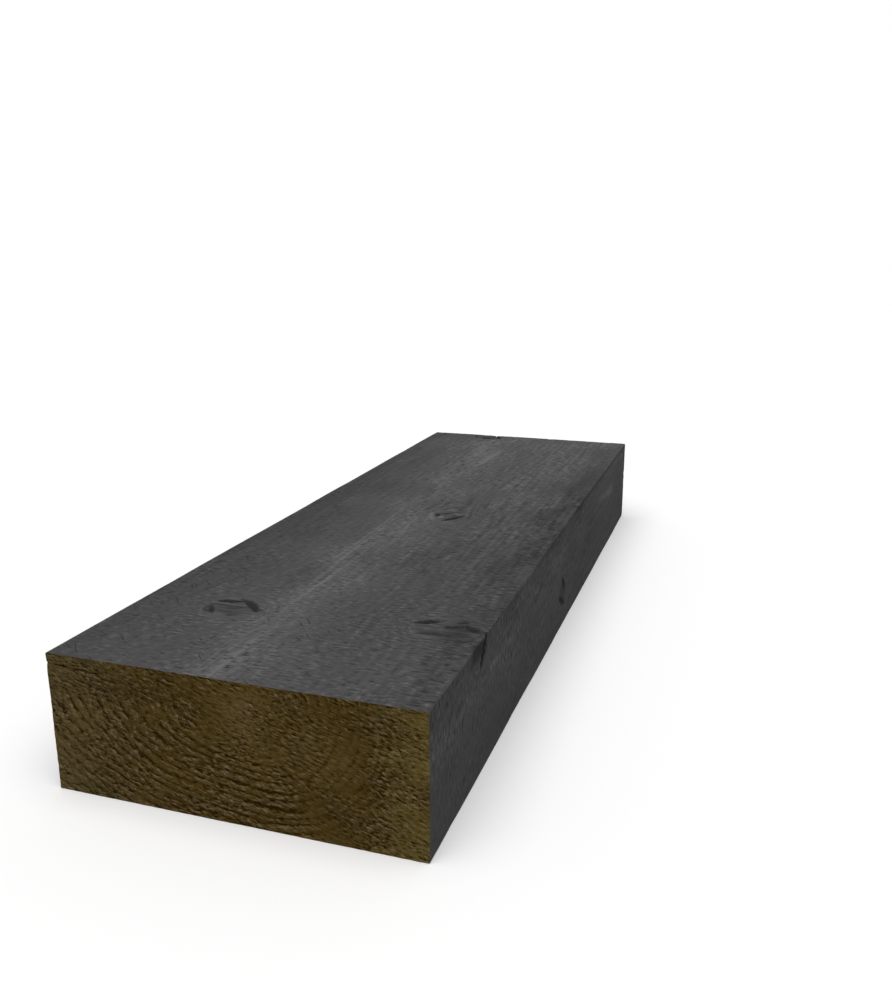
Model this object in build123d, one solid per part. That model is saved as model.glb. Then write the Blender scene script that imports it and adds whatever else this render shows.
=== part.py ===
from build123d import *

import os
from math import cos, hypot, radians, sin
from typing import NamedTuple

# Railway sleeper: one squared softwood timber, sawn on its four long faces and cut square at both ends.
# Frame: X across the width, Y along the grain, Z up. The origin is the middle of the underside.
# The near end is the one at -Y. All sizes are millimetres.

# The sawn timber
length = 600.0
width = 200.0
thickness = 75.0
arris_radius = 0.5  # the four long edges, eased by feed rollers and handling

# Branches leave a stem in whorls, so the knots lie in three rows along the grain
near_whorl_inset = 82.0  # from the near end to the first row
middle_whorl_offset = -7.0  # from mid-length to the second row
far_whorl_inset = 9.0  # from the far end to the third row

# Each knot has shrunk away from the wood around it and left open clefts
cleft_depth = 3.0
wide_gap = 3.6  # widest opening of a main cleft
narrow_gap = 1.8  # widest opening of the fainter cleft on a knot's other side
cleft_flatness = 1.6  # how much flatter a cleft's inner side is than its outer one

near_whorl = near_whorl_inset - length / 2
middle_whorl = middle_whorl_offset
far_whorl = length / 2 - far_whorl_inset

# Local X of both face planes runs along the grain towards the far end
top_face = Plane(origin=(0, 0, thickness), x_dir=(0, 1, 0), z_dir=(0, 0, 1))
right_face = Plane(origin=(width / 2, 0, thickness / 2), x_dir=(0, 1, 0), z_dir=(1, 0, 0))

# Local Y of the top face runs to the left, and of the right face upwards, both from the face's centre line
left_arris = width / 2
right_arris = -width / 2
upper_arris = thickness / 2
lower_arris = -thickness / 2


class Knot(NamedTuple):
    """An oval knot on a long face: the place of its heart in that face's plane, and its two radii."""

    face: Plane
    along: float
    across: float
    radius_along: float
    radius_across: float

    def reach(self, angle):
        """Distance from the heart to the knot's outline, at an angle in degrees from local X."""
        turned = radians(angle)
        sides = hypot(self.radius_across * cos(turned), self.radius_along * sin(turned))
        return self.radius_along * self.radius_across / sides


# The arris knot's heart was sawn away above the right face, so only its lower side is left
left_knot = Knot(top_face, near_whorl, left_arris - 58, radius_along=11.5, radius_across=16)
right_knot = Knot(top_face, near_whorl + 7, right_arris + 22, radius_along=12, radius_across=17)
arris_knot = Knot(right_face, near_whorl - 7.5, upper_arris + 2, radius_along=14, radius_across=14)
heart_knot = Knot(top_face, middle_whorl, -13, radius_along=10.5, radius_across=9.5)
side_knot = Knot(right_face, middle_whorl, lower_arris + 26, radius_along=9, radius_across=9.5)
end_knot = Knot(top_face, far_whorl, left_arris - 59, radius_along=6.5, radius_across=12)


def timber():
    """The squared section, with eased arrises, carried along the grain from end to end."""
    section = Plane.XZ * Pos(0, thickness / 2) * RectangleRounded(width, thickness, arris_radius)
    return extrude(section, amount=length / 2, both=True)


def cleft(knot, opens_to, gap):
    """A crescent slot in one side of a knot: its oval outline less a flatter oval, slid back by the gap.

    opens_to is the direction of the slot's widest place, in degrees from local X of the knot's face.
    """
    outline = Ellipse(knot.radius_along, knot.radius_across)
    flatter = Ellipse(knot.radius_along * cleft_flatness, knot.radius_across * cleft_flatness)
    slide = gap + (cleft_flatness - 1) * knot.reach(opens_to)
    crescent = outline - Rot(Z=opens_to) * Pos(-slide, 0) * Rot(Z=-opens_to) * flatter
    return extrude(knot.face * Pos(knot.along, knot.across) * crescent, amount=-cleft_depth)


clefts = [
    cleft(left_knot, opens_to=-50, gap=wide_gap),
    cleft(left_knot, opens_to=52, gap=narrow_gap),
    cleft(left_knot, opens_to=140, gap=narrow_gap),
    cleft(right_knot, opens_to=57, gap=wide_gap),
    cleft(right_knot, opens_to=-67, gap=narrow_gap),
    cleft(right_knot, opens_to=146, gap=narrow_gap),
    cleft(arris_knot, opens_to=-38, gap=wide_gap),
    cleft(heart_knot, opens_to=-117, gap=wide_gap),
    cleft(heart_knot, opens_to=77, gap=narrow_gap),
    cleft(side_knot, opens_to=-122, gap=wide_gap),
    cleft(side_knot, opens_to=63, gap=wide_gap),
    cleft(end_knot, opens_to=-74, gap=wide_gap),
    cleft(end_knot, opens_to=170, gap=narrow_gap),
]

sleeper = timber() - clefts

os.makedirs("parts", exist_ok=True)
export_step(sleeper, "parts/sleeper.step")
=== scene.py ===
"""Railway sleeper: the looks of one squared softwood timber, stained charcoal, with bare cut ends.

Lengths are metres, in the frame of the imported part: X across the width, Y along the grain and Z up.
"""

from math import cos, pi, radians, sin, tau
from typing import NamedTuple

import bpy
import numpy as np
from bpy.props import FloatProperty, FloatVectorProperty, PointerProperty
from bpy.types import Operator, Panel, PropertyGroup
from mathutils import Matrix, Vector


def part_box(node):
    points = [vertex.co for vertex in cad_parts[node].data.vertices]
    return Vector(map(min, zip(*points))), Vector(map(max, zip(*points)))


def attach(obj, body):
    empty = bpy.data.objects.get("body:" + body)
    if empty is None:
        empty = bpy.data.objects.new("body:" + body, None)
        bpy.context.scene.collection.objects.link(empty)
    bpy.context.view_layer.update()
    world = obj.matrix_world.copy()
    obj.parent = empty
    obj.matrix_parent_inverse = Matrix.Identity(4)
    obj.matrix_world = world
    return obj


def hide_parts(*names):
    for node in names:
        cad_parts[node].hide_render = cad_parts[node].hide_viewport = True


bl_info = {
    "name": "Railway Sleeper",
    "version": (1, 0, 0),
    "blender": (4, 5, 0),
    "location": "3D View > Sidebar > Sleeper",
    "description": "Dresses a squared softwood sleeper with sawn relief, charcoal stain and torn end grain",
    "category": "Add Mesh",
}

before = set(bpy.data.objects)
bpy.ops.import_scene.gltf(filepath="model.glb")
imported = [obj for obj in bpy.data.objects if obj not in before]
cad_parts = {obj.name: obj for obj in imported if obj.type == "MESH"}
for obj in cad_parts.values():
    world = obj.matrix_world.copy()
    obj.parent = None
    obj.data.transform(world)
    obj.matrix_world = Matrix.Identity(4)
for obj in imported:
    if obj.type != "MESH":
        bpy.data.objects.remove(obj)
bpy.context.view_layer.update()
LOW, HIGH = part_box("sleeper")
MM = 0.001

# The timber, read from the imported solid
WIDTH = HIGH.x - LOW.x
LENGTH = HIGH.y - LOW.y
THICKNESS = HIGH.z - LOW.z
GIRTH = 2 * (WIDTH + THICKNESS)

# Girth runs round the section from the upper left arris, and these are the arrises where the faces start
TOP_FACE = 0
RIGHT_SIDE = WIDTH
UNDERSIDE = WIDTH + THICKNESS
LEFT_SIDE = 2 * WIDTH + THICKNESS
ARRISES = (TOP_FACE, RIGHT_SIDE, UNDERSIDE, LEFT_SIDE)


# Settings


class TimberShape(PropertyGroup):
    """Sizes of the sawn timber's grain and relief"""

    arris_radius: FloatProperty(
        name="Arris Radius", description="Easing of the four long edges",
        default=0.5 * MM, min=0.2 * MM, max=6 * MM, precision=4, unit="LENGTH",
    )
    ring_width: FloatProperty(
        name="Ring Width", description="Growth in one year, measured straight up from the pith",
        default=4.1 * MM, min=1 * MM, max=12 * MM, precision=4, unit="LENGTH",
    )
    left_spread: FloatProperty(
        name="Left Spread", description="Growth to the left of the pith, as a share of the growth below it",
        default=1.82, min=0.3, max=3.0, subtype="FACTOR",
    )
    right_spread: FloatProperty(
        name="Right Spread", description="Growth to the right of the pith, as a share of the growth below it",
        default=1.15, min=0.3, max=3.0, subtype="FACTOR",
    )
    pith_offset: FloatProperty(
        name="Pith Offset", description="From the middle of the near end to the pith, to the right",
        default=16 * MM, precision=4, unit="LENGTH",
    )
    pith_depth: FloatProperty(
        name="Pith Depth", description="From the top face down to the pith",
        default=12 * MM, precision=4, unit="LENGTH",
    )
    pith_drift: FloatProperty(
        name="Pith Drift", description="How far the pith wanders sideways from the near end to the far end",
        default=-14 * MM, precision=4, unit="LENGTH",
    )
    raised_grain: FloatProperty(
        name="Raised Grain", description="How far the hard late wood stands above the soft early wood",
        default=0.10 * MM, min=0.0, max=1 * MM, precision=5, unit="LENGTH",
    )
    saw_waver: FloatProperty(
        name="Saw Waver", description="Unevenness that the band saw left along the long faces",
        default=0.06 * MM, min=0.0, max=1 * MM, precision=5, unit="LENGTH",
    )
    cleft_depth: FloatProperty(
        name="Cleft Depth", description="Depth of the open clefts round the knots",
        default=3.0 * MM, min=0.0, max=8 * MM, precision=4, unit="LENGTH",
    )
    arris_wear: FloatProperty(
        name="Arris Wear", description="Deepest bruise along the four long edges",
        default=0.12 * MM, min=0.0, max=3 * MM, precision=5, unit="LENGTH",
    )
    chip_depth: FloatProperty(
        name="Chip Depth", description="Deepest splinter torn from the edges of the cut ends",
        default=0.15 * MM, min=0.0, max=3 * MM, precision=5, unit="LENGTH",
    )
    torn_depth: FloatProperty(
        name="Torn Depth", description="Depth of the torn fibres on the cut ends",
        default=0.55 * MM, min=0.0, max=3 * MM, precision=5, unit="LENGTH",
    )
    section_step: FloatProperty(
        name="Section Step", description="Grid spacing round the section and over the ends, away from knots",
        default=1.5 * MM, min=0.5 * MM, max=10 * MM, precision=5, unit="LENGTH",
    )
    knot_step: FloatProperty(
        name="Knot Step", description="Grid spacing round the section beside the open knots",
        default=0.8 * MM, min=0.5 * MM, max=10 * MM, precision=5, unit="LENGTH",
    )
    clear_stride: FloatProperty(
        name="Clear Stride", description="Grid spacing along the grain in the clear wood between knots",
        default=12 * MM, min=1 * MM, max=60 * MM, precision=4, unit="LENGTH",
    )
    knot_stride: FloatProperty(
        name="Knot Stride", description="Grid spacing along the grain, beside the knots and the ends",
        default=1.3 * MM, min=0.5 * MM, max=10 * MM, precision=5, unit="LENGTH",
    )


class StainFinish(PropertyGroup):
    """Colours of the charcoal stain on the long faces"""

    deep: FloatVectorProperty(
        name="Deep Stain", description="Stain that soaked into soft early wood",
        default=(0.026, 0.026, 0.026), size=3, min=0.0, max=1.0, subtype="COLOR",
    )
    thin: FloatVectorProperty(
        name="Thin Stain", description="Stain that stayed thin on hard or rubbed wood",
        default=(0.125, 0.125, 0.125), size=3, min=0.0, max=1.0, subtype="COLOR",
    )
    # Painted shade: this dark colour in the clefts and hair checks stands for the shade inside them as well
    # as pooled stain and dirt.
    cleft: FloatVectorProperty(
        name="Cleft", description="Stain and dirt pooled in clefts and hair checks",
        default=(0.010, 0.010, 0.010), size=3, min=0.0, max=1.0, subtype="COLOR",
    )
    roughness: FloatProperty(
        name="Roughness", description="Roughness of the matt stain",
        default=0.92, min=0.0, max=1.0, subtype="FACTOR",
    )


class EndFinish(PropertyGroup):
    """Colours of the bare wood on the cut ends"""

    row_width: FloatProperty(
        name="Row Width", description="Scale of the tears that follow the rings, for one year of growth",
        default=4.1 * MM, min=1 * MM, max=12 * MM, precision=4, unit="LENGTH",
    )
    heartwood: FloatVectorProperty(
        name="Heartwood", description="Brown wood round the pith, which takes up little preservative",
        default=(0.105, 0.066, 0.0155), size=3, min=0.0, max=1.0, subtype="COLOR",
    )
    sapwood: FloatVectorProperty(
        name="Sapwood", description="Olive wood near the faces, soaked with preservative",
        default=(0.128, 0.094, 0.0215), size=3, min=0.0, max=1.0, subtype="COLOR",
    )
    greyed: FloatVectorProperty(
        name="Greyed Wood", description="Wood that has begun to weather, left of the pith",
        default=(0.106, 0.077, 0.028), size=3, min=0.0, max=1.0, subtype="COLOR",
    )
    # Painted highlight: pale frayed fibre, put on the highest tufts where light catches them, and on the
    # lighter patches.
    frayed: FloatVectorProperty(
        name="Frayed Fibre", description="Pale tips of frayed fibres",
        default=(0.235, 0.172, 0.094), size=3, min=0.0, max=1.0, subtype="COLOR",
    )
    # Painted shade in the lowest gaps between torn fibres and in the end crack; it also darkens the body of
    # the wood by ring and at random.
    gap: FloatVectorProperty(
        name="Gap", description="Dark gaps between torn fibres",
        default=(0.0205, 0.0096, 0.0004), size=3, min=0.0, max=1.0, subtype="COLOR",
    )
    roughness: FloatProperty(
        name="Roughness", description="Roughness of the bare cut wood",
        default=0.95, min=0.0, max=1.0, subtype="FACTOR",
    )


class StudioStage(PropertyGroup):
    """The floor, the light and the camera"""

    camera_place: FloatVectorProperty(
        name="Camera", description="Where the camera stands",
        default=(0.2226, -0.6509, 0.2688), size=3, precision=4, subtype="TRANSLATION", unit="LENGTH",
    )
    camera_aim: FloatVectorProperty(
        name="Aim", description="The point in the middle of the picture",
        default=(0.0120, -0.0095, 0.0879), size=3, precision=4, subtype="TRANSLATION", unit="LENGTH",
    )
    lens: FloatProperty(
        name="Lens", description="Focal length on a picture 36 mm high",
        default=34.39, min=1.0, unit="CAMERA",
    )
    floor_size: FloatProperty(
        name="Floor", description="Side of the square floor",
        default=8.0, min=1.0, unit="LENGTH",
    )
    floor_bounce: FloatVectorProperty(
        name="Floor Bounce", description="Colour with which the floor lights the timber",
        default=(0.4, 0.4, 0.4), size=3, min=0.0, max=1.0, subtype="COLOR",
    )
    floor_seen: FloatVectorProperty(
        name="Floor Seen", description="Colour of the floor in the picture",
        default=(0.97, 0.97, 0.97), size=3, min=0.0, max=1.0, subtype="COLOR",
    )
    sky: FloatProperty(
        name="Sky", description="Light that comes evenly from all round",
        default=0.36, min=0.0,
    )
    lamp: FloatProperty(
        name="Lamp", description="Light of the soft lamp overhead, on a level surface",
        default=0.70, min=0.0,
    )
    lamp_heading: FloatVectorProperty(
        name="Lamp Heading", description="Direction from the timber to the lamp",
        default=(0.12, -0.35, 1.0), size=3, subtype="DIRECTION",
    )
    lamp_softness: FloatProperty(
        name="Lamp Softness", description="How wide the lamp looks from the timber",
        default=radians(70), min=0.0, max=pi, subtype="ANGLE", unit="ROTATION",
    )


# Knots and streaks, placed along from the near end and round the girth

NEAR_WHORL = 82 * MM
MIDDLE_WHORL = LENGTH / 2 - 7 * MM
FAR_WHORL = LENGTH - 9 * MM


class Cleft(NamedTuple):
    """An open cleft: an arc from tip to tip, its bow to the left of the way it runs, and half its gap.

    Strength is its depth and darkness, as shares of the deepest cleft's.
    """

    start: Vector
    stop: Vector
    bow: float
    half_gap: float
    strength: float


class Knot(NamedTuple):
    """An oval knot: the place of its heart along the grain and round the girth, its radii and its clefts."""

    along: float
    girth: float
    radius_along: float
    radius_across: float
    clefts: tuple = ()


def cleft(start, stop, half_gap, strength, bow=0):
    """A cleft in millimetres from its knot's heart, each tip as (towards the far end, round the girth)."""
    return Cleft(Vector(start) * MM, Vector(stop) * MM, bow * MM, half_gap * MM, strength)


LEFT_KNOT = Knot(NEAR_WHORL, 58 * MM, 11.5 * MM, 16 * MM, clefts=(
    cleft((7.5, -16), (11, 2), half_gap=1.8, strength=0.95, bow=0.5),
    cleft((14, -3), (-3, 15), half_gap=2.2, strength=0.75, bow=-1.5),
    cleft((2.5, 13), (-1.5, 20), half_gap=1.0, strength=0.3),
    cleft((-10, -8), (0, -14.5), half_gap=1.3, strength=0.75, bow=-0.6),
    cleft((-9.5, -11), (-0.5, -16), half_gap=0.8, strength=0.65, bow=-2.0),
    cleft((-2, -7), (2, 5), half_gap=0.9, strength=0.35),
    cleft((-7, -9), (-5.5, 5), half_gap=0.6, strength=0.3),
    cleft((-12, 0.5), (-7, 6), half_gap=1.2, strength=0.4),
))
RIGHT_KNOT = Knot(NEAR_WHORL + 7 * MM, RIGHT_SIDE - 22 * MM, 12 * MM, 17 * MM, clefts=(
    cleft((4.5, -19), (12, -4), half_gap=2.7, strength=0.9),
    cleft((8.5, -6.5), (14, -2.5), half_gap=0.9, strength=0.45),
    cleft((3, -4), (6.5, 10), half_gap=1.3, strength=0.8, bow=0.4),
    cleft((9, 9), (0, 19.5), half_gap=2.6, strength=0.55, bow=0.5),
    cleft((10, 2.5), (13, 9.5), half_gap=1.1, strength=0.85),
    cleft((-9, -14), (-8, 5), half_gap=1.2, strength=0.55, bow=-1.5),
    cleft((-14, 9), (-10, 18.5), half_gap=1.1, strength=0.55),
    cleft((-17, 5), (-12, 5.5), half_gap=0.8, strength=0.35),
))
ARRIS_KNOT = Knot(NEAR_WHORL - 7.5 * MM, RIGHT_SIDE + 4 * MM, 12 * MM, 5 * MM, clefts=(
    cleft((18, -6), (4, 13), half_gap=2.9, strength=1.0),
))
HEART_KNOT = Knot(MIDDLE_WHORL, WIDTH / 2 + 13 * MM, 10.5 * MM, 9.5 * MM, clefts=(
    cleft((-2.5, -8), (7, -10.5), half_gap=1.5, strength=1.0, bow=0.3),
    cleft((5, -10), (12.5, 1), half_gap=2.0, strength=0.65, bow=1.6),
    cleft((-11.5, -1), (6.5, 10.5), half_gap=2.1, strength=0.85, bow=1.4),
    cleft((0, 2), (4.5, 6), half_gap=1.1, strength=0.4),
))
SIDE_KNOT = Knot(MIDDLE_WHORL, UNDERSIDE - 26 * MM, 9 * MM, 9.5 * MM, clefts=(
    cleft((-4, -12.5), (10, 3), half_gap=2.2, strength=0.45),
    cleft((-12, 1), (8.5, 12.5), half_gap=2.6, strength=0.42, bow=0.5),
))
END_KNOT = Knot(FAR_WHORL, 59 * MM, 6.5 * MM, 12 * MM, clefts=(
    cleft((-4, 14), (9, 7), half_gap=2.4, strength=1.0),
    cleft((-9, -5), (-4.5, 6), half_gap=2.6, strength=1.0),
    cleft((-6.5, 8), (-2, 6.5), half_gap=1.2, strength=0.4),
    cleft((-7, -9.5), (9, -15), half_gap=1.3, strength=0.5),
))
OPEN_KNOTS = (LEFT_KNOT, RIGHT_KNOT, ARRIS_KNOT, HEART_KNOT, SIDE_KNOT, END_KNOT)

# Tight knots without clefts, on the faces that lie underneath or behind
TIGHT_KNOTS = (
    Knot(NEAR_WHORL + 6 * MM, UNDERSIDE + 62 * MM, 10 * MM, 13 * MM),
    Knot(MIDDLE_WHORL + 5 * MM, UNDERSIDE + 141 * MM, 9 * MM, 12 * MM),
    Knot(NEAR_WHORL - 2 * MM, LEFT_SIDE + 30 * MM, 8 * MM, 10 * MM),
    Knot(MIDDLE_WHORL + 3 * MM, LEFT_SIDE + 49 * MM, 6 * MM, 7.5 * MM),
)
KNOTS = (*OPEN_KNOTS, *TIGHT_KNOTS)

# Distance from a knot's heart, in shares of its outline, beyond which the wood counts as clear
CLEAR_WOOD = 3

# The middle of a pale band along the top, and how far its thin rubbed streaks lie from that
PALE_BAND = 86 * MM
PALE_REACH = 9 * MM


class Streak(NamedTuple):
    """A lighter or darker band along the grain: its two ends, its half width, and how much it lightens.

    Girth is its place at the start, and drift is how far round the section it has moved at the stop.
    """

    start: float
    stop: float
    girth: float
    drift: float
    half_width: float
    strength: float


def streak(base, start, stop, across, half_width, strength, drift=0):
    """A streak in millimetres: its ends from the near end, and its place across from a base on the girth."""
    return Streak(start * MM, stop * MM, base + across * MM, drift * MM, half_width * MM, strength)


STREAKS = (
    # Slow changes from side to side and end to end
    streak(PALE_BAND, -150, 390, across=0, half_width=16, strength=0.57),
    streak(PALE_BAND, 180, 860, across=0, half_width=18, strength=0.55, drift=-14),
    streak(TOP_FACE, 300, 1000, across=100, half_width=110, strength=0.22),
    streak(TOP_FACE, -200, 660, across=192, half_width=13, strength=-0.45),
    streak(TOP_FACE, 100, 600, across=190, half_width=13, strength=-0.32),
    streak(TOP_FACE, -200, 980, across=3, half_width=9, strength=-0.46),
    streak(TOP_FACE, -150, 150, across=106, half_width=20, strength=0.24),
    streak(TOP_FACE, 540, 760, across=182, half_width=24, strength=-0.30),
    streak(TOP_FACE, -100, 560, across=22, half_width=16, strength=-0.14),
    streak(TOP_FACE, 80, 640, across=22, half_width=15, strength=-0.30),
    streak(TOP_FACE, 330, 1100, across=155, half_width=30, strength=0.31),
    streak(TOP_FACE, 290, 490, across=138, half_width=13, strength=0.28),
    streak(TOP_FACE, 10, 310, across=150, half_width=26, strength=-0.18),
    streak(TOP_FACE, 120, 350, across=112, half_width=11, strength=0.24),
    streak(RIGHT_SIDE, 40, 900, across=56, half_width=24, strength=-0.2),
    streak(RIGHT_SIDE, -80, 250, across=28, half_width=8, strength=0.24),
    streak(RIGHT_SIDE, 280, 490, across=35, half_width=18, strength=-0.28),
    streak(RIGHT_SIDE, 20, 240, across=63, half_width=8, strength=-0.28),
    streak(RIGHT_SIDE, 340, 900, across=6, half_width=5, strength=0.40),
    streak(RIGHT_SIDE, 520, 760, across=38, half_width=32, strength=-0.30),
    # Rubbed streaks
    streak(TOP_FACE, -50, 66, across=92.5, half_width=1.1, strength=1.2, drift=-3),
    streak(TOP_FACE, 84, 172, across=85, half_width=1.1, strength=1.5, drift=0.5),
    streak(TOP_FACE, 100, 290, across=81, half_width=0.9, strength=0.9, drift=-4),
    streak(TOP_FACE, 150, 330, across=76, half_width=0.9, strength=0.9, drift=-3),
    streak(TOP_FACE, 120, 260, across=88.5, half_width=0.8, strength=0.5, drift=-2),
    streak(TOP_FACE, 125, 160, across=85.5, half_width=1.0, strength=0.7),
    streak(TOP_FACE, 205, 295, across=98.5, half_width=1.6, strength=0.75, drift=-9),
    streak(TOP_FACE, 225, 300, across=92, half_width=1.4, strength=0.5, drift=-8),
    streak(TOP_FACE, 375, 450, across=72, half_width=2.4, strength=0.45, drift=-2),
    streak(TOP_FACE, 435, 545, across=82, half_width=2.0, strength=1.2, drift=9),
    streak(TOP_FACE, 452, 532, across=85, half_width=2.0, strength=2.2, drift=6),
    streak(TOP_FACE, 465, 575, across=72, half_width=4.5, strength=0.55, drift=-2),
    streak(TOP_FACE, 556, 582, across=68.5, half_width=2.2, strength=1.3),
    streak(TOP_FACE, 545, 572, across=77, half_width=2.0, strength=0.9),
    # Pale spots beside the open knots: painted highlights on their raised rims
    streak(TOP_FACE, 69.5, 74, across=54, half_width=3.5, strength=0.9),
    streak(TOP_FACE, 59, 66, across=62.5, half_width=1.5, strength=0.6),
    streak(TOP_FACE, 72, 112, across=177, half_width=12, strength=0.45),
    streak(TOP_FACE, 83, 90, across=168.5, half_width=1.8, strength=0.9),
    streak(TOP_FACE, 82, 95, across=177, half_width=1.2, strength=0.4, drift=-2),
    streak(TOP_FACE, 276, 304, across=106, half_width=1.3, strength=2.2, drift=-10),
    streak(TOP_FACE, 284.5, 293, across=108.3, half_width=1.5, strength=2.6),
    streak(TOP_FACE, 297, 305, across=118.5, half_width=1.2, strength=0.6, drift=-1),
    # Painted shade on the facet beside the arris knot, and darker wood
    streak(RIGHT_SIDE, 60, 92, across=3.5, half_width=4, strength=-0.9),
    streak(RIGHT_SIDE, 180, 800, across=0.6, half_width=1.0, strength=-0.9),
    streak(RIGHT_SIDE, 575, 660, across=3, half_width=8, strength=-0.6),
    # Rubbed side
    streak(RIGHT_SIDE, -60, 90, across=25, half_width=3, strength=0.3, drift=-2),
    streak(RIGHT_SIDE, 85, 165, across=24, half_width=2.4, strength=0.6, drift=-1),
    streak(RIGHT_SIDE, 430, 545, across=20, half_width=3.5, strength=0.7, drift=6),
    streak(RIGHT_SIDE, 485, 530, across=25, half_width=4, strength=0.7, drift=2),
    # Hidden faces
    streak(UNDERSIDE, 40, 520, across=70, half_width=14, strength=0.35, drift=9),
    streak(UNDERSIDE, 180, 420, across=118, half_width=1.5, strength=0.9, drift=-4),
    streak(LEFT_SIDE, 300, 580, across=22, half_width=3, strength=0.6, drift=3),
)

# Bands where the saw left rougher wood
ROUGH = (
    streak(TOP_FACE, -200, 450, across=165, half_width=46, strength=1.0, drift=-5),
    streak(TOP_FACE, 200, 900, across=145, half_width=36, strength=1.0),
    streak(TOP_FACE, -150, 290, across=45, half_width=48, strength=0.6),
    streak(TOP_FACE, 280, 900, across=72, half_width=22, strength=0.9, drift=-5),
    streak(RIGHT_SIDE, -200, 400, across=16, half_width=20, strength=0.7),
    streak(UNDERSIDE, -60, 660, across=110, half_width=70, strength=0.7),
    streak(LEFT_SIDE, -60, 660, across=40, half_width=30, strength=0.6),
)


class Crack(NamedTuple):
    """A crack on a cut end: its two tips, to the right of the middle and below the top, and half its gap."""

    start: Vector
    stop: Vector
    half_gap: float


END_CRACK = Crack(Vector((-106 * MM, 5.2 * MM)), Vector((-68 * MM, 8 * MM)), 0.42 * MM)


class Patch(NamedTuple):
    """A bell over a cut end: its middle, its half sizes and its strength.

    The middle is to the right of the left side and below the top.
    """

    right: float
    below: float
    half_wide: float
    half_high: float
    strength: float


def patch(right, below, half_wide, half_high, strength):
    """A patch in millimetres."""
    return Patch(right * MM, below * MM, half_wide * MM, half_high * MM, strength)


# Lighter and darker patches on the near end
TONES = (
    patch(109, 16, 12, 15, strength=0.34),
    patch(107.5, 19, 5, 12, strength=0.18),
    patch(105, 1.5, 8, 2.5, strength=-0.20),
    patch(58, 10, 28, 11, strength=-0.12),
    patch(52, 13, 13, 5, strength=-0.18),
    patch(81, 25, 7, 6, strength=-0.16),
    patch(52, 48, 26, 22, strength=-0.13),
    patch(72, 51, 6, 8, strength=-0.12),
    patch(90, 72, 56, 12, strength=-0.10),
    patch(127, 60, 14, 7, strength=-0.12),
    patch(168, 28, 4, 22, strength=-0.12),
    patch(176, 66, 9, 8, strength=0.14),
    patch(10, 68, 12, 10, strength=0.14),
    patch(10, 3, 12, 9, strength=0.12),
    patch(79, 2, 2.2, 1.4, strength=0.50),
    patch(191, 45, 16, 40, strength=0.13),
    patch(150, 38, 20, 24, strength=0.07),
    patch(6, 45, 14, 45, strength=0.05),
)

# The wood round the pith, which the saw burnished, and the long level rows of rings under it
BURNISHED = (patch(108, 15, 12, 12, strength=0.45),)
LONG_ROWS = (patch(118, 60, 26, 15, strength=0.38),)


# Random fields and ramps


def ripple(seed, *axes, waves=28):
    """A smooth random field of unit spread: a sum of plane waves of random heading, pitch and phase.

    Each axis is a place divided by the length that the marks have along it.
    """
    draw = np.random.default_rng(seed)
    total = np.zeros(np.broadcast(*axes).shape)
    for _ in range(waves):
        heading = draw.normal(size=len(axes))
        heading *= draw.uniform(0.6, 1.4) / np.linalg.norm(heading)
        turns = sum(part * axis for part, axis in zip(heading, axes)) + draw.uniform()
        total += np.sin(tau * turns)
    return total * np.sqrt(2 / waves)


def ease(start, stop, value):
    """0 before start and 1 after stop, along an S between them; start may be the larger."""
    share = np.clip((value - start) / (stop - start), 0, 1)
    return share * share * (3 - 2 * share)


# The wood


def knot_share(knot, along, girth):
    """Distance from a knot's heart, as a share of the distance to its oval outline."""
    ahead = (along - knot.along) / knot.radius_along
    aside = girth_from(knot.girth, girth) / knot.radius_across
    return np.hypot(ahead, aside)


def girth_from(start, girth):
    """The short way round the section from start to girth, less than half the girth either way."""
    return (girth - start + GIRTH / 2) % GIRTH - GIRTH / 2


def grain_shift(along, girth):
    """How far round the section the grain at a place has been pushed by the knots.

    It is the flow round an oval post: a line of grain that passes a heart at distance d came from
    d - d / r^2, where r is the knot share, and inside the outline it came from the heart itself.
    """
    reach = 3.0
    shift = np.zeros(np.broadcast(along, girth).shape)
    for knot in KNOTS:
        share = np.maximum(knot_share(knot, along, girth), 1)
        fade = np.exp(-(((share - 1) / reach) ** 2))
        shift -= girth_from(knot.girth, girth) * fade / share**2
    return shift


def ring_radius(shape, x, y, z):
    """Distance from the pith to a place in the wood, with the rings' ovals pressed to circles.

    The pith wanders across the timber. Three lobes and a slow ripple make the rings uneven, good and poor
    years crowd or part them, and the stem's taper brings outer rings in towards the far end.
    """
    taper = 5 * MM
    unevenness = 0.8 * MM
    good_years = 0.3 * MM
    lobe = 0.02
    share = (y - LOW.y) / LENGTH
    from_pith = x - (LOW.x + HIGH.x) / 2 - shape.pith_offset - shape.pith_drift * share
    across = from_pith / np.where(from_pith < 0, shape.left_spread, shape.right_spread)
    up = z - HIGH.z + shape.pith_depth
    lobes = 1 + lobe * np.sin(3 * np.arctan2(up, across) + 2)
    radius = np.hypot(across, up) * lobes
    years = good_years * ripple(9, radius / (13 * MM))
    uneven = unevenness * ripple(3, x / (50 * MM), y / (250 * MM), z / (50 * MM))
    return radius + years + taper * share + uneven


def ring_slope(shape, x, z):
    """Angle at which the rings rise to the right over the near end, between a quarter turn down and up.

    It is square to the way the ring radius grows: the distance to the right over the square of that side's
    spread, and the distance up.
    """
    from_pith = x - (LOW.x + HIGH.x) / 2 - shape.pith_offset
    spread = np.where(from_pith < 0, shape.left_spread, shape.right_spread)
    up = z - HIGH.z + shape.pith_depth
    return np.arctan2(-from_pith / spread**2 * np.sign(up), np.abs(up))


def latewood(rings):
    """Hardness through each ring: a hump, from 0 in the spring wood to 1 at two thirds of the ring."""
    lateness = 1.8
    return 0.5 - 0.5 * np.cos(tau * (rings % 1) ** lateness)


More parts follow.
